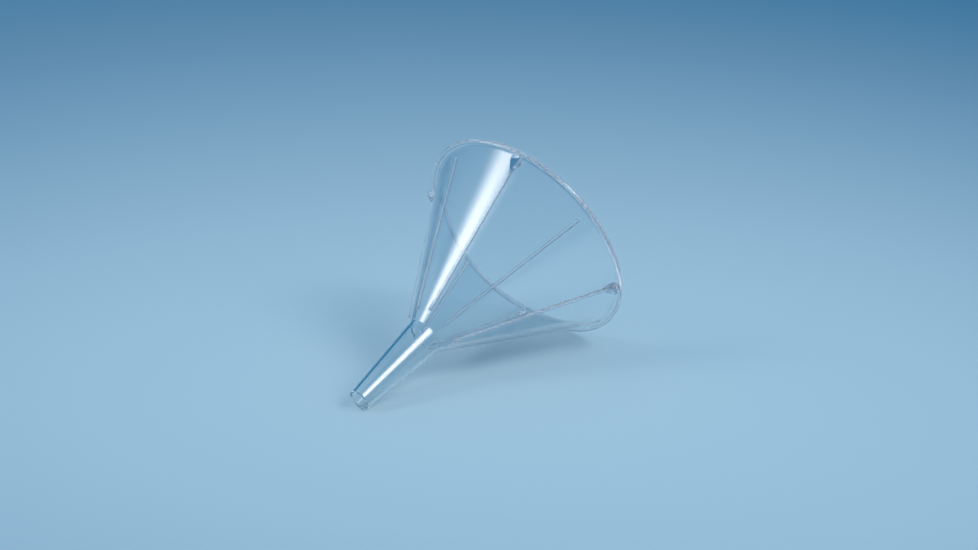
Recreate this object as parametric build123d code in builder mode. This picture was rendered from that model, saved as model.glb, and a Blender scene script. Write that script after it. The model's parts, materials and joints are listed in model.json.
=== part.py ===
"""A clear moulded filling funnel, lying on its side on three points.

Units are mm.  Z is up and the table top is Z = 0.  The funnel's axis rises from
the stem tip to the mouth and its level projection runs along +X.

The funnel rests on the edge of its stem tip, on the rim bead and on one lug.
Sections are drawn in planes through the axis: x is the radius, y is the height
along the axis, 0 at the mouth and negative towards the stem.  Angles round the
axis start at the lowest generator and turn towards +Y.
"""
import math
import os

from build123d import *

os.makedirs("parts", exist_ok=True)

# ---- driving dimensions -------------------------------------------------------
RIM_RADIUS = 50.0        # outside of the bead: a 100 mm funnel
BEAD_RADIUS = 0.9        # rounding of the rim's edge
BEAD_INNER = 48.4        # radius where the flat flange turns into the bead
FLANGE_THICK = 1.4
LIP_FILLET = 0.5         # inside edge of the mouth

HALF_ANGLE = 30.0        # a 60 degree cone
CONE_RADIUS = 48.25      # outer surface of the cone, carried up to the mouth plane
WALL = 1.3

JUNCTION_RADIUS = 8.35   # outside, where the cone meets the stem
THROAT_RADIUS = 7.2      # inside, at the same height
STEM_LENGTH = 41.6
TIP_RADIUS = 4.8
TIP_BORE_RADIUS = 3.7
TIP_FILLET = 0.3

RIB_FOOT = 74.1          # slant distance from the mouth to the lower ends of the ribs
OUTER_RIB_WIDTH = 1.5
OUTER_RIB_HEIGHT = 1.0
INNER_RIB_WIDTH = 1.3
INNER_RIB_HEIGHT = 0.9
INNER_RIB_TOP = 5.5      # slant distance from the mouth to their upper ends

LUG_COUNT = 4
LUG_RADIUS = 2.4         # of the domed boss
LUG_REACH = 48.0         # distance of the dome's centre from the axis
LUG_DROP = 3.4           # of the dome's centre below the mouth plane
TAIL_END = 8.2           # slant distance where the lug's tail meets its rib
TAIL_ROOT = 4.3
TAIL_HEIGHT = 3.5
TAIL_WIDTH = 4.2

# ---- the cone's outer surface -------------------------------------------------
SIN_HALF = math.sin(math.radians(HALF_ANGLE))
COS_HALF = math.cos(math.radians(HALF_ANGLE))


def on_wall(slant, height):
    """Section point at a slant distance from the mouth and a height off the outer surface."""
    radius = CONE_RADIUS - slant * SIN_HALF + height * COS_HALF
    level = -slant * COS_HALF - height * SIN_HALF
    return (radius, level)


def outer_at(level):
    """Outer radius of the cone at a height along the axis."""
    return CONE_RADIUS + level * SIN_HALF / COS_HALF


def inner_at(level):
    """Inner radius of the cone at a height along the axis."""
    return outer_at(level) - WALL / COS_HALF


def level_of_inner(radius):
    """Height along the axis where the cone's inner surface has this radius."""
    return (radius + WALL / COS_HALF - CONE_RADIUS) * COS_HALF / SIN_HALF


JUNCTION = (JUNCTION_RADIUS - CONE_RADIUS) * COS_HALF / SIN_HALF
TIP = JUNCTION - STEM_LENGTH
BEAD_CENTRE = RIM_RADIUS - BEAD_RADIUS

# ---- how it lies --------------------------------------------------------------
# The tip edge and the bead both touch the table, which sets the rise of the axis.
RUN = BEAD_CENTRE - TIP_RADIUS
DROP = -TIP - BEAD_RADIUS
RISE = math.acos(-BEAD_RADIUS / math.hypot(RUN, DROP)) - math.atan2(DROP, RUN)
COS_RISE = math.cos(RISE)
SIN_RISE = math.sin(RISE)
MOUTH_HEIGHT = BEAD_CENTRE * COS_RISE + BEAD_RADIUS * SIN_RISE + BEAD_RADIUS
# It rolls until the nearest lug's dome touches as well.
LUG_CLEARANCE = MOUTH_HEIGHT - LUG_DROP * SIN_RISE - LUG_RADIUS
ROLL = math.degrees(math.acos(LUG_CLEARANCE / (LUG_REACH * COS_RISE)))
# The overall length is centred on X = 0.
FRONT = BEAD_CENTRE * SIN_RISE - BEAD_RADIUS * COS_RISE + BEAD_RADIUS
BACK = -TIP * COS_RISE + TIP_RADIUS * SIN_RISE
MOUTH = Vector((BACK - FRONT) / 2, 0, MOUTH_HEIGHT)

ALONG = Vector(COS_RISE, 0, SIN_RISE)
DOWN = Vector(SIN_RISE, 0, -COS_RISE)
SIDE = ALONG.cross(DOWN)
FUNNEL_AXIS = Axis(MOUTH, ALONG)


def outward(angle):
    """Unit vector away from the axis at an angle round it."""
    turn = math.radians(angle)
    return DOWN * math.cos(turn) + SIDE * math.sin(turn)


def section(angle=0.0):
    """Plane through the axis: x is the radius, y the height along the axis."""
    radial = outward(angle)
    return Plane(origin=MOUTH, x_dir=radial, z_dir=radial.cross(ALONG))


def wall_plane(angle):
    """Plane touching the cone along one generator: x is the slant distance from the mouth."""
    radial = outward(angle)
    down_slope = radial * -SIN_HALF + ALONG * -COS_HALF
    normal = radial * COS_HALF + ALONG * -SIN_HALF
    return Plane(origin=MOUTH + radial * CONE_RADIUS, x_dir=down_slope, z_dir=normal)


def layer_points(low, high):
    """Corners of a conical layer between two heights off the outer surface."""
    far = RIB_FOOT + 3
    return [on_wall(0, low), on_wall(0, high), on_wall(far, high), on_wall(far, low)]


# ---- sections used by more than one piece ---------------------------------------
with BuildSketch(section()) as bead_profile:
    hollow = BEAD_CENTRE - BEAD_INNER
    foot = -BEAD_RADIUS - math.sqrt(BEAD_RADIUS**2 - hollow**2)
    with BuildLine():
        Polyline((BEAD_INNER, foot), (BEAD_INNER, 0), (BEAD_CENTRE, 0))
        start = math.degrees(math.atan2(foot + BEAD_RADIUS, -hollow))
        CenterArc((BEAD_CENTRE, -BEAD_RADIUS), BEAD_RADIUS, start, 90 - start)
    make_face()

with BuildSketch(section()) as inside_profile:
    with BuildLine():
        Polyline(
            (0, 0),
            (BEAD_INNER, 0),
            (BEAD_INNER, -FLANGE_THICK),
            (outer_at(-FLANGE_THICK), -FLANGE_THICK),
            on_wall(2 * TAIL_END, 0),
            (0, on_wall(2 * TAIL_END, 0)[1]),
            close=True,
        )
    make_face()

with BuildSketch(section()) as outer_layer:
    with BuildLine():
        Polyline(*layer_points(0, OUTER_RIB_HEIGHT), close=True)
    make_face()

with BuildSketch(section()) as inner_layer:
    with BuildLine():
        Polyline(*layer_points(-WALL - INNER_RIB_HEIGHT, -WALL), close=True)
    make_face()


# ---- the turned shell: wall, flange, bead and stem ------------------------------
with BuildPart() as cone_wall:
    with BuildSketch(section()):
        with BuildLine():
            Polyline(
                (outer_at(-FLANGE_THICK), -FLANGE_THICK),
                (JUNCTION_RADIUS, JUNCTION),
                (THROAT_RADIUS, JUNCTION),
                (THROAT_RADIUS, level_of_inner(THROAT_RADIUS)),
                (inner_at(-FLANGE_THICK), -FLANGE_THICK),
                close=True,
            )
        make_face()
    revolve(axis=FUNNEL_AXIS)
cone_wall.part.label = "cone_wall"
export_step(cone_wall.part, "parts/cone_wall.step")

with BuildPart() as rim_flange:
    with BuildSketch(section()):
        with BuildLine():
            Polyline(
                (inner_at(-FLANGE_THICK), -FLANGE_THICK),
                (BEAD_INNER, -FLANGE_THICK),
                (BEAD_INNER, 0),
                (inner_at(0), 0),
                close=True,
            )
        lip = make_face().vertices().sort_by(Axis.Y)[-2:].sort_by(Axis.X)[0]
        fillet(lip, LIP_FILLET)
    revolve(axis=FUNNEL_AXIS)
rim_flange.part.label = "rim_flange"
export_step(rim_flange.part, "parts/rim_flange.step")

with BuildPart() as rim_bead:
    revolve(bead_profile.sketch, axis=FUNNEL_AXIS)
rim_bead.part.label = "rim_bead"
export_step(rim_bead.part, "parts/rim_bead.step")

with BuildPart() as stem_tube:
    with BuildSketch(section()):
        with BuildLine():
            Polyline(
                (THROAT_RADIUS, JUNCTION),
                (JUNCTION_RADIUS, JUNCTION),
                (TIP_RADIUS, TIP),
                (TIP_BORE_RADIUS, TIP),
                close=True,
            )
        make_face()
    revolve(axis=FUNNEL_AXIS)
    fillet(stem_tube.edges().sort_by(FUNNEL_AXIS)[:2], TIP_FILLET)
stem_tube.part.label = "stem_tube"
export_step(stem_tube.part, "parts/stem_tube.step")


# ---- ribs and lugs ------------------------------------------------------------
def make_outer_rib(angle, name):
    """A straight rib outside the cone, square at its foot, under one lug."""
    with BuildPart() as rib:
        with BuildSketch(wall_plane(angle)):
            with Locations(((RIB_FOOT + TAIL_END) / 2, 0)):
                Rectangle(RIB_FOOT - TAIL_END, OUTER_RIB_WIDTH)
        extrude(amount=2 * OUTER_RIB_HEIGHT, both=True)
        revolve(outer_layer.sketch, axis=FUNNEL_AXIS, mode=Mode.INTERSECT)
    rib.part.label = name
    export_step(rib.part, f"parts/{name}.step")


def make_inner_rib(angle, name):
    """A straight rib inside the cone with rounded ends, short of the mouth."""
    with BuildPart() as rib:
        with BuildSketch(wall_plane(angle)):
            with Locations(((RIB_FOOT + INNER_RIB_TOP) / 2, 0)):
                SlotOverall(RIB_FOOT - INNER_RIB_TOP, INNER_RIB_WIDTH)
        extrude(amount=-WALL - 2 * INNER_RIB_HEIGHT)
        revolve(inner_layer.sketch, axis=FUNNEL_AXIS, mode=Mode.INTERSECT)
    rib.part.label = name
    export_step(rib.part, f"parts/{name}.step")


def make_lug(angle, name):
    """A domed boss under the flange with a tail that runs down into its rib."""
    radial = outward(angle)
    with BuildPart() as lug:
        with BuildSketch(wall_plane(angle)):
            with BuildLine():
                Polyline(
                    (TAIL_END, OUTER_RIB_WIDTH / 2),
                    (TAIL_END, -OUTER_RIB_WIDTH / 2),
                    (TAIL_ROOT, -TAIL_WIDTH / 2),
                    (TAIL_ROOT, TAIL_WIDTH / 2),
                    close=True,
                )
            make_face()
        extrude(amount=TAIL_HEIGHT + 1, both=True)
        with BuildSketch(section(angle)):
            with BuildLine():
                Polyline(
                    on_wall(TAIL_END, -WALL / 2),
                    on_wall(TAIL_END, OUTER_RIB_HEIGHT),
                    on_wall(TAIL_ROOT, TAIL_HEIGHT),
                    on_wall(TAIL_ROOT, -WALL / 2),
                    close=True,
                )
            make_face()
        extrude(amount=TAIL_WIDTH, both=True, mode=Mode.INTERSECT)
        with BuildSketch(section(angle)):
            with BuildLine():
                root = (CONE_RADIUS - 2 * LUG_RADIUS, -LUG_DROP)
                Line(root, (LUG_REACH + LUG_RADIUS, -LUG_DROP))
                CenterArc((LUG_REACH, -LUG_DROP), LUG_RADIUS, 0, 90)
                Line((LUG_REACH, LUG_RADIUS - LUG_DROP), (root[0], LUG_RADIUS - LUG_DROP))
                Line((root[0], LUG_RADIUS - LUG_DROP), root)
            make_face()
        revolve(axis=Axis(MOUTH - ALONG * LUG_DROP, radial))
        revolve(inside_profile.sketch, axis=FUNNEL_AXIS, mode=Mode.SUBTRACT)
        revolve(bead_profile.sketch, axis=FUNNEL_AXIS, mode=Mode.SUBTRACT)
    lug.part.label = name
    export_step(lug.part, f"parts/{name}.step")


for count in range(LUG_COUNT):
    lug_angle = ROLL + count * 360 / LUG_COUNT
    make_lug(lug_angle, f"lug_{count + 1}")
    make_outer_rib(lug_angle, f"outer_rib_{count + 1}")
    make_inner_rib(lug_angle + 180 / LUG_COUNT, f"inner_rib_{count + 1}")
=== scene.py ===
"""A clear moulded filling funnel lying on its side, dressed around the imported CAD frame.

The shell, ribs and lugs are joined into one closed skin, so that the clear plastic has no
faces inside it. That skin is then cut along the borders of the CAD nodes, one piece each.
"""

import json
import math

import bmesh
import bpy
import numpy as np
from mathutils import Matrix, Vector

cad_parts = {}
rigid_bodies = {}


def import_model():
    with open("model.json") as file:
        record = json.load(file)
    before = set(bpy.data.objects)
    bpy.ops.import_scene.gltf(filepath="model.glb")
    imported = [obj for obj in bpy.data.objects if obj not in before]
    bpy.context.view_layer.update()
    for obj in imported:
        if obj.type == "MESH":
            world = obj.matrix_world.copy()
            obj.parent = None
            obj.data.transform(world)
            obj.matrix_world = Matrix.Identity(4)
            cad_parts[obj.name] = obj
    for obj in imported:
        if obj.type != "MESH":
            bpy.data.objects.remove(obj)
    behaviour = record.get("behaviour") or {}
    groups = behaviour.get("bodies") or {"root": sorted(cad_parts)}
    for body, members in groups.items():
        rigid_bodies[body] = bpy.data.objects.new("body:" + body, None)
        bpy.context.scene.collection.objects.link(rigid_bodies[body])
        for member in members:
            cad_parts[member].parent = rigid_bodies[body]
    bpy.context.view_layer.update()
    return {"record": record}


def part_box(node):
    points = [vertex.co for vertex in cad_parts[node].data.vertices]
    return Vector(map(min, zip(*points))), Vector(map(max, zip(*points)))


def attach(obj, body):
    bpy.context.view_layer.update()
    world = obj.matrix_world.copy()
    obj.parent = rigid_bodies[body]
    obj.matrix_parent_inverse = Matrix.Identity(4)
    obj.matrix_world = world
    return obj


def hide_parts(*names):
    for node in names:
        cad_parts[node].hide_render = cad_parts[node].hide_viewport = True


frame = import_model()

# ---- the moulding's dimensions, in millimetres, as in the CAD model ----------------
# levels are along the axis from the mouth, slants are down the cone from the mouth
RIM_RADIUS = 50.0
BEAD_RADIUS = 0.9
BEAD_INNER = 48.4
FLANGE_THICK = 1.4
CONE_RADIUS = 48.25
WALL = 1.3
JUNCTION_RADIUS = 8.35
THROAT_RADIUS = 7.2
STEM_LENGTH = 41.6
TIP_RADIUS = 4.8
TIP_BORE_RADIUS = 3.7
RIB_FOOT = 74.1
RIB_FOOT_RISE = ((0, 0.6), (0.1, 0.85), (0.3, 1.0))  # (distance from the foot, share of height)
OUTER_RIB_WIDTH = 1.5
OUTER_RIB_HEIGHT = 1.0
OUTER_RIB_ROUNDING = 0.35
INNER_RIB_WIDTH = 1.3
INNER_RIB_HEIGHT = 0.9
INNER_RIB_ROUNDING = 0.5
INNER_RIB_TOP = 5.5
INNER_RIB_ENDS = [0.0, 0.03, 0.1, 0.25, 0.45, INNER_RIB_WIDTH / 2]  # cuts through a round end
INNER_RIB_TIP = 0.08  # half width of the cut at the very end
LUG_RADIUS = 2.4
LUG_REACH = 48.0
LUG_DROP = 3.4
TAIL_END = 8.2
TAIL_ROOT = 4.3
TAIL_HEIGHT = 3.5
TAIL_WIDTH = 4.2
TAIL_LAG = 0.45  # the tail's rounding grows by its half width less this

# ribs and lugs start this deep inside the wall, so that they join it
OUTER_RIB_SUNK = 0.55
INNER_RIB_SUNK = 0.35
LUG_SUNK = 0.7

# how finely the shapes are divided
TURNS = 256
CONE_STEPS = 14
STEM_STEPS = 8
ARC_STEPS = 6
RIB_STEPS = 12
TAIL_STEPS = 8
SHOULDER_STEPS = 5
LUG_POINTS = 40
LUG_RINGS = 10
SHARP_ANGLE = math.radians(42)

SIN_HALF = math.sin(math.radians(30))
COS_HALF = math.cos(math.radians(30))
JUNCTION = (JUNCTION_RADIUS - CONE_RADIUS) * COS_HALF / SIN_HALF
THROAT = (THROAT_RADIUS + WALL / COS_HALF - CONE_RADIUS) * COS_HALF / SIN_HALF
TIP = JUNCTION - STEM_LENGTH

# ---- how it lies, read from the frame ----------------------------------------------
MOUNTS = {m["name"]: m for m in frame["record"]["mounts"]}
ALONG = Vector(MOUNTS["rim_face"]["axis"]).normalized()
MOUTH = Vector(MOUNTS["stem_outlet"]["pos_m"]) - ALONG * TIP / 1000
DOWN = Vector((ALONG.z, 0, -ALONG.x))
SIDE = ALONG.cross(DOWN)
LUG_MIDDLE = sum(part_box("lug_1"), Vector()) / 2 - MOUTH
LUG_ACROSS, LUG_BELOW = LUG_MIDDLE.dot(SIDE), LUG_MIDDLE.dot(DOWN)
ROLL = math.asin(LUG_ACROSS / math.hypot(LUG_ACROSS, LUG_BELOW))
TURN = np.array(Matrix((DOWN, SIDE, ALONG)))

TURNED = ["cone_wall", "rim_flange", "rim_bead", "stem_tube"]
NODES = TURNED + [f"{kind}_{i}" for kind in ("outer_rib", "inner_rib", "lug") for i in range(1, 5)]
TAG = {name: index for index, name in enumerate(NODES)}


def outer_at(level):
    """Radius of the cone's outer surface."""
    return CONE_RADIUS + level * SIN_HALF / COS_HALF


def inner_at(level):
    """Radius of the cone's inner surface."""
    return outer_at(level) - WALL / COS_HALF


# ---- the turned profile: closed, with the solid on its left ------------------------
# (radius, level, rounding of this corner, node of the run that leaves it, steps in that run)
CORNERS = [
    (inner_at(0), 0, 0.5, "rim_flange", 1),
    (inner_at(-FLANGE_THICK), -FLANGE_THICK, 0, "cone_wall", CONE_STEPS),
    (THROAT_RADIUS, THROAT, 0.6, "stem_tube", STEM_STEPS),
    (TIP_BORE_RADIUS, TIP, 0.2, "stem_tube", 1),
    (TIP_RADIUS, TIP, 0.3, "stem_tube", STEM_STEPS),
    (JUNCTION_RADIUS, JUNCTION, 0, "cone_wall", CONE_STEPS),
    (outer_at(-FLANGE_THICK), -FLANGE_THICK, 0.3, "rim_flange", 1),
    (BEAD_INNER - 0.1, -FLANGE_THICK, 0, "rim_bead", 1),
    (BEAD_INNER + 0.1, -2 * BEAD_RADIUS, 0.35, "rim_bead", 1),
    (RIM_RADIUS, -2 * BEAD_RADIUS, 0.89, "rim_bead", 1),
    (RIM_RADIUS, 0, 0.89, "rim_bead", 1),
    (BEAD_INNER, 0, 0, "rim_flange", 1),
]


def rounded_corner(before, here, after, size):
    """Where a corner's rounding starts and ends, its centre, and 1 or -1 for its side."""
    back, ahead = before - here, after - here
    back, ahead = back / np.linalg.norm(back), ahead / np.linalg.norm(ahead)
    half = math.acos(np.clip(back @ ahead, -1, 1)) / 2
    reach = size / math.tan(half)
    middle = (back + ahead) / max(np.linalg.norm(back + ahead), 1e-9)
    sign = 1 if back[1] * ahead[0] - back[0] * ahead[1] > 0 else -1
    return here + back * reach, here + ahead * reach, here + middle * size / math.sin(half), sign


def turned_profile():
    """Short runs, round the corners too: (start, end, normal at start, normal at end, node)."""
    spots = [np.array(corner[:2], float) for corner in CORNERS]
    count = len(spots)
    corners = [
        rounded_corner(spots[i - 1], spots[i], spots[(i + 1) % count], CORNERS[i][2])
        for i in range(count)
    ]
    runs = []
    for i, (first, last, centre, sign) in enumerate(corners):
        _, _, size, node, steps = CORNERS[i]
        if size > 0:
            start = math.atan2(first[1] - centre[1], first[0] - centre[0])
            turn = math.atan2(last[1] - centre[1], last[0] - centre[0]) - start
            turn = (turn + math.pi) % (2 * math.pi) - math.pi
            angles = [start + turn * k / ARC_STEPS for k in range(ARC_STEPS + 1)]
            rays = [np.array((math.cos(t), math.sin(t))) for t in angles]
            arc_node = CORNERS[i - 1][3]
            for a, b in zip(rays, rays[1:]):
                runs.append((centre + size * a, centre + size * b, sign * a, sign * b, arc_node))
        goal = corners[(i + 1) % count][0]
        run = (goal - last) / np.linalg.norm(goal - last)
        normal = np.array((run[1], -run[0]))
        for k in range(steps):
            a, b = last + (goal - last) * k / steps, last + (goal - last) * (k + 1) / steps
            runs.append((a, b, normal, normal, node))
    return runs


PROFILE = turned_profile()


def turned_mesh():
    """The shell turned about the axis: points, faces and a node tag for each face."""
    points, faces, tags = [], [], []
    for i, (start, _, _, _, node) in enumerate(PROFILE):
        j = (i + 1) % len(PROFILE)
        for k in range(TURNS):
            t = 2 * math.pi * k / TURNS
            m = (k + 1) % TURNS
            points.append((start[0] * math.cos(t), start[0] * math.sin(t), start[1]))
            faces.append((i * TURNS + k, j * TURNS + k, j * TURNS + m, i * TURNS + m))
            tags.append(TAG[node])
    return points, faces, tags


# ---- ribs and lugs, each a closed form that starts inside the wall -----------------
def spot(angle, radius, across, level):
    """Point in the direction of angle, with an offset across that direction."""
    x, y = math.cos(angle), math.sin(angle)
    return (x * radius - y * across, y * radius + x * across, level)


def on_cone(angle, slant, across, height):
    """Point down the cone, with an offset across and a height off the outer surface."""
    radius = CONE_RADIUS - slant * SIN_HALF + height * COS_HALF
    return spot(angle, radius, across, -slant * COS_HALF - height * SIN_HALF)


def bands(count, size):
    """Quads between rings of points: count bands, with size points in each ring."""
    faces = []
    for i in range(count):
        for k in range(size):
            m = (k + 1) % size
            faces.append((i * size + k, i * size + m, (i + 1) * size + m, (i + 1) * size + k))
    return faces


def arch(half_width, low, high, rounding):
    """Cross-section of a rib: flat sides from low, and rounded shoulders up to high."""
    rounding = min(rounding, half_width * 0.95, abs(high - low) * 0.6)
    sign = 1 if high > low else -1
    points = [(half_width, low)]
    for side in (1, -1):
        ring = []
        for k in range(SHOULDER_STEPS + 1):
            t = math.pi / 2 * k / SHOULDER_STEPS
            ring.append((
                side * (half_width - rounding + rounding * math.cos(t)),
                high - sign * (rounding - rounding * math.sin(t)),
            ))
        points += ring[::side]
    points.append((-half_width, low))
    return points


def swept(angle, sections, tag_of):
    """Closed form through cross-sections (slant, [(across, height), ...])."""
    size = len(sections[0][1])
    slants = [slant for slant, _ in sections]
    points = [on_cone(angle, slant, a, h) for slant, ring in sections for a, h in ring]
    faces = bands(len(sections) - 1, size)
    tags = [tag_of((a + b) / 2) for a, b in zip(slants, slants[1:]) for _ in range(size)]
    faces += [tuple(range(size))[::-1], tuple(range(len(points) - size, len(points)))]
    tags += [tag_of(slants[0]), tag_of(slants[-1])]
    return points, faces, tags


def outer_rib(angle, number):
    """A straight rib with a low foot, which swells at its other end into the tail of its lug."""
    half, low, high = OUTER_RIB_WIDTH / 2, -OUTER_RIB_SUNK, OUTER_RIB_HEIGHT
    sections = [
        (RIB_FOOT - up, arch(half, low, high * share, OUTER_RIB_ROUNDING))
        for up, share in RIB_FOOT_RISE
    ]
    full = sections[-1][0]
    for k in range(1, RIB_STEPS):
        slant = full + (TAIL_END - full) * k / RIB_STEPS
        sections.append((slant, arch(half, low, high, OUTER_RIB_ROUNDING)))
    for k in range(TAIL_STEPS + 1):
        t = k / TAIL_STEPS
        # half a straight slope and half an eased one
        swell = t * t * (3 - 2 * t) * 0.5 + t * 0.5
        wide = half + (TAIL_WIDTH - OUTER_RIB_WIDTH) / 2 * swell
        tall = high + (TAIL_HEIGHT - high) * swell
        rounding = OUTER_RIB_ROUNDING + (wide - TAIL_LAG) * swell
        sections.append((TAIL_END + (TAIL_ROOT - TAIL_END) * t, arch(wide, low, tall, rounding)))
    rib, lug = TAG[f"outer_rib_{number}"], TAG[f"lug_{number}"]
    return swept(angle, sections, lambda slant: rib if slant > TAIL_END else lug)


def inner_rib(angle, number):
    """A straight rib inside the cone, round at both ends."""
    half = INNER_RIB_WIDTH / 2
    low, high = -WALL + INNER_RIB_SUNK, -WALL - INNER_RIB_HEIGHT
    slants = [RIB_FOOT - e for e in INNER_RIB_ENDS]
    slants += [RIB_FOOT + (INNER_RIB_TOP - RIB_FOOT) * k / RIB_STEPS for k in range(1, RIB_STEPS)]
    slants += [INNER_RIB_TOP + e for e in reversed(INNER_RIB_ENDS)]
    sections = []
    for slant in slants:
        edge = min(RIB_FOOT - slant, slant - INNER_RIB_TOP, half)
        wide = max(math.sqrt(half**2 - (half - edge) ** 2), INNER_RIB_TIP)
        sections.append((slant, arch(wide, low, high, INNER_RIB_ROUNDING)[::-1]))
    tag = TAG[f"inner_rib_{number}"]
    return swept(angle, sections, lambda slant: tag)


def lug_boss(angle, number):
    """A domed boss that points away from the axis."""
    circle = [2 * math.pi * k / LUG_POINTS for k in range(LUG_POINTS)]
    points = []
    for t in circle:
        across, level = LUG_RADIUS * math.cos(t), -LUG_DROP + LUG_RADIUS * math.sin(t)
        root = math.sqrt((outer_at(level) - LUG_SUNK) ** 2 - across**2)
        points.append(spot(angle, root, across, level))
    for i in range(LUG_RINGS):
        lift = math.pi / 2 * i / LUG_RINGS
        size = LUG_RADIUS * math.cos(lift)
        reach = LUG_REACH + LUG_RADIUS * math.sin(lift)
        points += [
            spot(angle, reach, size * math.cos(t), -LUG_DROP + size * math.sin(t)) for t in circle
        ]
    faces = bands(LUG_RINGS, LUG_POINTS)
    top, root = len(points), len(points) + 1
    points.append(spot(angle, LUG_REACH + LUG_RADIUS, 0, -LUG_DROP))
    points.append(spot(angle, outer_at(-LUG_DROP) - LUG_SUNK, 0, -LUG_DROP))
    last = LUG_RINGS * LUG_POINTS
    for k in range(LUG_POINTS):
        m = (k + 1) % LUG_POINTS
        faces += [(last + k, last + m, top), (m, k, root)]
    return points, faces, [TAG[f"lug_{number}"]] * len(faces)


# ---- one seamless skin --------------------------------------------------------------
tag_materials = [bpy.data.materials.new(f"tag_{name}") for name in NODES]


def form(name, data):
    """An object in the funnel's own frame, in millimetres, with its faces tagged by material."""
    points, faces, tags = data
    mesh = bpy.data.meshes.new(name)
    mesh.from_pydata([tuple(map(float, p)) for p in points], [], faces)
    for material in tag_materials:
        mesh.materials.append(material)
    mesh.polygons.foreach_set("material_index", tags)
    mesh.update()
    bm = bmesh.new()
    bm.from_mesh(mesh)
    bmesh.ops.recalc_face_normals(bm, faces=bm.faces)
    bm.to_mesh(mesh)
    bm.free()
    return bpy.data.objects.new(name, mesh)


shell = form("shell", turned_mesh())
bpy.context.scene.collection.objects.link(shell)
extras = bpy.data.collections.new("extras")
bpy.context.scene.collection.children.link(extras)
for number in range(1, 5):
    lug_angle = ROLL + (number - 1) * math.pi / 2
    for name, data in (
        (f"rib_form_{number}", outer_rib(lug_angle, number)),
        (f"boss_form_{number}", lug_boss(lug_angle, number)),
        (f"inner_form_{number}", inner_rib(lug_angle + math.pi / 4, number)),
    ):
        extras.objects.link(form(name, data))

union = shell.modifiers.new("union", "BOOLEAN")
union.operation = "UNION"
union.solver = "EXACT"
union.operand_type = "COLLECTION"
union.collection = extras
bpy.context.view_layer.update()
skin = bpy.data.meshes.new_from_object(
    shell.evaluated_get(bpy.context.evaluated_depsgraph_get())
)
for obj in (shell, *extras.objects):
    bpy.data.objects.remove(obj)
bpy.data.collections.remove(extras)
for material in tag_materials:
    bpy.data.materials.remove(material)
skin.polygons.foreach_set("use_smooth", [True] * len(skin.polygons))
skin.set_sharp_from_angle(angle=SHARP_ANGLE)


def values_of(items, attribute, width=1, kind=float):
    """One attribute of all items of the skin, as an array with a row for each item."""
    values = np.zeros(len(items) * width, kind)
    items.foreach_get(attribute, values)
    return values.reshape(-1, width) if width > 1 else values


skin_points = values_of(skin.vertices, "co", 3)
corner_normals = values_of(skin.corner_normals, "vector", 3)
corner_points = values_of(skin.loops, "vertex_index", kind=int)
face_tags = values_of(skin.polygons, "material_index", kind=int)
face_starts = values_of(skin.polygons, "loop_start", kind=int)
face_sizes = values_of(skin.polygons, "loop_total", kind=int)
corner_faces = np.repeat(np.arange(len(face_starts)), face_sizes)


def turned_normals():
    """The profile's true normal at every corner of every face, as if all were turned."""
    starts, ends, start_normals, end_normals = (
        np.array([run[i] for run in PROFILE]) for i in range(4)
    )
    runs = ends - starts
    lengths2 = (runs**2).sum(1)
    places = skin_points[corner_points]
    radii = np.hypot(places[:, 0], places[:, 1])
    flat = np.stack([radii, places[:, 2]], 1)
    middles = np.add.reduceat(flat, face_starts, axis=0) / face_sizes[:, None]
    nearest = np.zeros(len(middles), int)
    best = np.full(len(middles), np.inf)
    for i, (start, run, length2) in enumerate(zip(starts, runs, lengths2)):
        share = np.clip(((middles - start) * run).sum(1) / length2, 0, 1)
        gap = np.linalg.norm(start + share[:, None] * run - middles, axis=1)
        nearest[gap < best] = i
        best = np.minimum(best, gap)
    run_of = nearest[corner_faces]
    along = ((flat - starts[run_of]) * runs[run_of]).sum(1) / lengths2[run_of]
    along = np.clip(along, 0, 1)[:, None]
    bent = start_normals[run_of] * (1 - along) + end_normals[run_of] * along
    bent /= np.linalg.norm(bent, axis=1)[:, None]
    outward, upward = bent.T
    return np.stack([outward * places[:, 0] / radii, outward * places[:, 1] / radii, upward], 1)


turned = np.isin(face_tags, [TAG[name] for name in TURNED])[corner_faces]
corner_normals[turned] = turned_normals()[turned]
placed_points = skin_points @ (TURN / 1000) + np.array(MOUTH)
placed_normals = corner_normals @ TURN


def skin_piece(name, material):
    """The part of the skin that belongs to one node, in place, with its true normals."""
    chosen = np.nonzero(face_tags == TAG[name])[0]
    sizes = face_sizes[chosen]
    corners = np.concatenate(
        [np.arange(start, start + size) for start, size in zip(face_starts[chosen], sizes)]
    )
    used, local = np.unique(corner_points[corners], return_inverse=True)
    faces = [list(map(int, part)) for part in np.split(local, np.cumsum(sizes)[:-1])]
    mesh = bpy.data.meshes.new(f"clear_{name}")
    mesh.from_pydata(placed_points[used].tolist(), [], faces)
    mesh.polygons.foreach_set("use_smooth", [True] * len(faces))
    mesh.normals_split_custom_set(placed_normals[corners].tolist())
    mesh.update()
    mesh.materials.append(material)
    piece = bpy.data.objects.new(f"clear_{name}", mesh)
    bpy.context.scene.collection.objects.link(piece)
    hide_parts(name)
    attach(piece, "root")


# ---- materials ----------------------------------------------------------------------
STYRENE_IOR = 1.57
HAZE_SCALE = 60
HAZE_DETAIL = 6
HAZE_RANGE = (0.35, 0.75)
FLOW_SCALE = 45
FLOW_DETAIL = 1
FLOW_DEPTH = 0.0004
EDGE_BLEND = 0.35
LET_THROUGH = (0.96, 0.55)  # share of lamp and floor light, seen face-on and edge-on
PAPER_COLOUR = (0.56, 0.77, 0.85, 1)
FIBRE_SCALE = 900
FIBRE_STRENGTH = 0.05
FIBRE_DEPTH = 0.0002


def add(tree, kind, values=None, links=None):
    """A new shader node, with its sockets' values and the outputs that feed them."""
    node = tree.nodes.new(f"ShaderNode{kind}")
    for socket, value in (values or {}).items():
        node.inputs[socket].default_value = value
    for socket, source in (links or {}).items():
        tree.links.new(source, node.inputs[socket])
    return node


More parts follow.
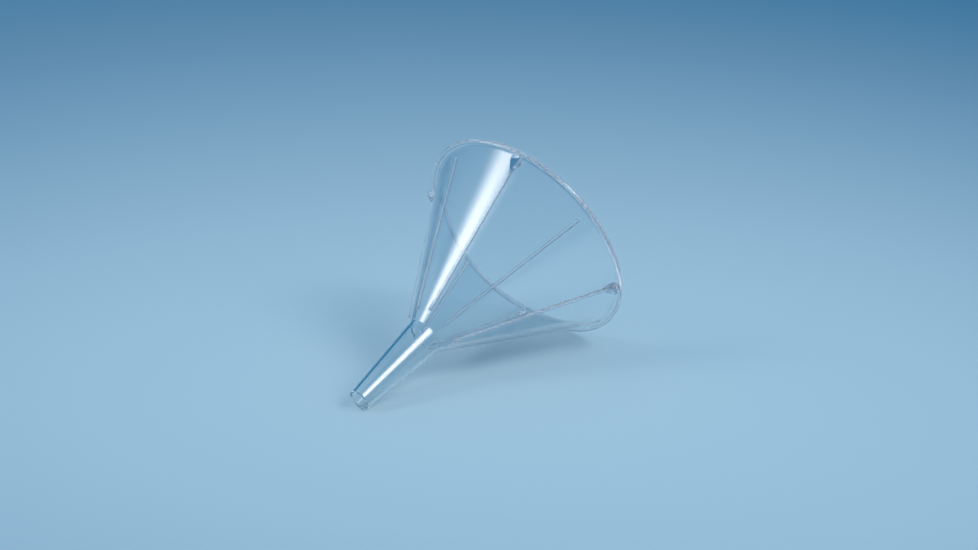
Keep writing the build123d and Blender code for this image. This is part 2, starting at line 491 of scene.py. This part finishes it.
def principled(name, values):
    """A new material: itself, its node tree, its Principled shader and object coordinates."""
    material = bpy.data.materials.new(name)
    material.use_nodes = True
    tree = material.node_tree
    shader = tree.nodes["Principled BSDF"]
    for socket, value in values.items():
        shader.inputs[socket].default_value = value
    return material, tree, shader, add(tree, "TexCoord").outputs["Object"]


def relief(tree, shader, noise, strength, depth):
    """Feeds a noise to the shader's normal, with its depth in metres."""
    settings = {"Strength": strength, "Distance": depth}
    bump = add(tree, "Bump", settings, {"Height": noise.outputs["Fac"]})
    tree.links.new(bump.outputs["Normal"], shader.inputs["Normal"])


def clear_styrene(name, tint, clearness, roughness, flow_strength):
    """Moulded styrene with haze and faint flow marks; roughness is its lowest and highest."""
    material, tree, shader, place = principled(name, {
        "Base Color": tint,
        "Transmission Weight": clearness,
        "IOR": STYRENE_IOR,
    })
    haze = add(tree, "TexNoise", {"Scale": HAZE_SCALE, "Detail": HAZE_DETAIL}, {"Vector": place})
    haze_range = add(tree, "MapRange", {
        "From Min": HAZE_RANGE[0],
        "From Max": HAZE_RANGE[1],
        "To Min": roughness[0],
        "To Max": roughness[1],
    }, {"Value": haze.outputs["Fac"]})
    tree.links.new(haze_range.outputs["Result"], shader.inputs["Roughness"])
    flow = add(tree, "TexNoise", {"Scale": FLOW_SCALE, "Detail": FLOW_DETAIL}, {"Vector": place})
    relief(tree, shader, flow, flow_strength, FLOW_DEPTH)
    # light from the lamps and the floor passes straight through, dimmed where seen edge-on
    edge = add(tree, "LayerWeight", {"Blend": EDGE_BLEND})
    dim = add(tree, "MapRange", {
        "To Min": LET_THROUGH[0],
        "To Max": LET_THROUGH[1],
    }, {"Value": edge.outputs["Facing"]})
    through = add(tree, "BsdfTransparent", links={"Color": dim.outputs["Result"]})
    path = add(tree, "LightPath")
    surface = shader.outputs["BSDF"]
    for ray in ("Is Diffuse Ray", "Is Shadow Ray"):
        shaders = {"Fac": path.outputs[ray], 1: surface, 2: through.outputs["BSDF"]}
        surface = add(tree, "MixShader", links=shaders).outputs["Shader"]
    tree.links.new(surface, tree.nodes["Material Output"].inputs["Surface"])
    return material


def paper():
    """Plain matt paper, with a faint fibre to it."""
    material, tree, shader, place = principled("pale_paper", {
        "Base Color": PAPER_COLOUR,
        "Roughness": 0.9,
        "Specular IOR Level": 0.1,
    })
    fibre = add(tree, "TexNoise", {"Scale": FIBRE_SCALE}, {"Vector": place})
    relief(tree, shader, fibre, FIBRE_STRENGTH, FIBRE_DEPTH)
    return material


MILKY = (0.99, 0.985, 1.0, 1)
POLISHED = clear_styrene("polished_styrene", (0.965, 0.982, 0.99, 1), 1.0, (0.015, 0.05), 0.004)
SATIN = clear_styrene("satin_styrene", MILKY, 0.76, (0.1, 0.2), 0.01)
MOULDED = clear_styrene("moulded_styrene", MILKY, 0.9, (0.04, 0.1), 0.01)
for node_name in NODES:
    if node_name in ("cone_wall", "rim_flange", "stem_tube"):
        skin_piece(node_name, POLISHED)
    elif node_name.startswith("lug"):
        skin_piece(node_name, MOULDED)
    else:
        skin_piece(node_name, SATIN)

# ---- the stage: one plain sheet of pale paper under soft light ----------------------
WORLD_COLOUR = (0.05, 0.40, 0.80, 1)
WORLD_STRENGTH = 0.43
LAMP_COLOUR = (1.0, 0.94, 0.89)
LAMP_SPREAD = math.radians(55)
FLOOR_SIZE = 60

bpy.ops.mesh.primitive_plane_add(size=FLOOR_SIZE, location=(0, 0, 0))
floor = bpy.context.object
floor.name = "floor"
floor.data.materials.append(paper())

world = bpy.data.worlds.new("studio")
bpy.context.scene.world = world
world.use_nodes = True
background = world.node_tree.nodes["Background"]
background.inputs["Color"].default_value = WORLD_COLOUR
background.inputs["Strength"].default_value = WORLD_STRENGTH


def softbox(name, azimuth, elevation, distance, width, height, power, fade):
    """An area light aimed at the mouth; fade is how far each edge dims: left, right, low, high."""
    lamp = bpy.data.lights.new(name, "AREA")
    lamp.shape = "RECTANGLE"
    lamp.size, lamp.size_y = width, height
    lamp.energy = power
    lamp.color = LAMP_COLOUR
    lamp.spread = LAMP_SPREAD
    lamp.use_nodes = True
    tree = lamp.node_tree
    place = add(tree, "NewGeometry").outputs["Parametric"]
    split = add(tree, "SeparateXYZ", links={"Vector": place})
    strength = None
    for share, axis, edge, inside in zip(fade, "XXYY", (0, 1, 0, 1), (1, -1, 1, -1)):
        if not share:
            continue
        reach = {"From Min": edge, "From Max": edge + inside * share}
        ramp = add(tree, "MapRange", reach, {"Value": split.outputs[axis]})
        ramp.interpolation_type = "SMOOTHSTEP"
        if strength is None:
            strength = ramp.outputs["Result"]
        else:
            both = add(tree, "Math", links={0: strength, 1: ramp.outputs["Result"]})
            both.operation = "MULTIPLY"
            strength = both.outputs["Value"]
    tree.links.new(strength, tree.nodes["Emission"].inputs["Strength"])
    obj = bpy.data.objects.new(name, lamp)
    a, e = math.radians(azimuth), math.radians(elevation)
    ray = Vector((math.sin(a) * math.cos(e), -math.cos(a) * math.cos(e), math.sin(e)))
    obj.location = MOUTH + ray * distance
    obj.rotation_euler = ray.to_track_quat("Z", "Y").to_euler()
    bpy.context.scene.collection.objects.link(obj)


softbox("left_softbox", -122.8, 40.5, 1.0, 0.84, 0.40, 1.0, fade=(0.63, 0.57, 0, 0.5))
softbox("front_softbox", 3, 47, 1.2, 0.6, 1.2, 2.3, fade=(0, 0, 0.5, 0.5))

# ---- camera: places in metres, lens and sensor in millimetres -------------------------
AZIMUTH = math.radians(-48.6)
ELEVATION = math.radians(20.5)
LENS = 95.4
SENSOR = 36
DISTANCE = 1.0898
RIM_RIGHT = 0.01536  # how far the rim's centre is right of the middle of the view
RIM_ABOVE = 0.01594  # and how far above it

rim_centre = MOUTH - ALONG * (BEAD_RADIUS / 1000)
view = Vector((
    -math.sin(AZIMUTH) * math.cos(ELEVATION),
    math.cos(AZIMUTH) * math.cos(ELEVATION),
    -math.sin(ELEVATION),
))
right = view.cross(Vector((0, 0, 1))).normalized()
up = right.cross(view)
camera = bpy.data.objects.new("camera", bpy.data.cameras.new("camera"))
camera.data.lens = LENS
camera.data.sensor_width = SENSOR
camera.location = rim_centre - right * RIM_RIGHT - up * RIM_ABOVE - view * DISTANCE
camera.rotation_euler = (-view).to_track_quat("Z", "Y").to_euler()
scene = bpy.context.scene
scene.collection.objects.link(camera)
scene.camera = camera
scene.view_settings.view_transform = "Standard"
# the thin wall guides light for a long way, so paths are allowed many bounces
scene.cycles.transmission_bounces = 128
scene.cycles.glossy_bounces = 128
scene.cycles.max_bounces = 160
scene.cycles.transparent_max_bounces = 24
# light reaches the floor straight through the plastic, so focused light is left out
scene.cycles.caustics_refractive = False
scene.cycles.caustics_reflective = False
scene.cycles.sample_clamp_indirect = 4.5
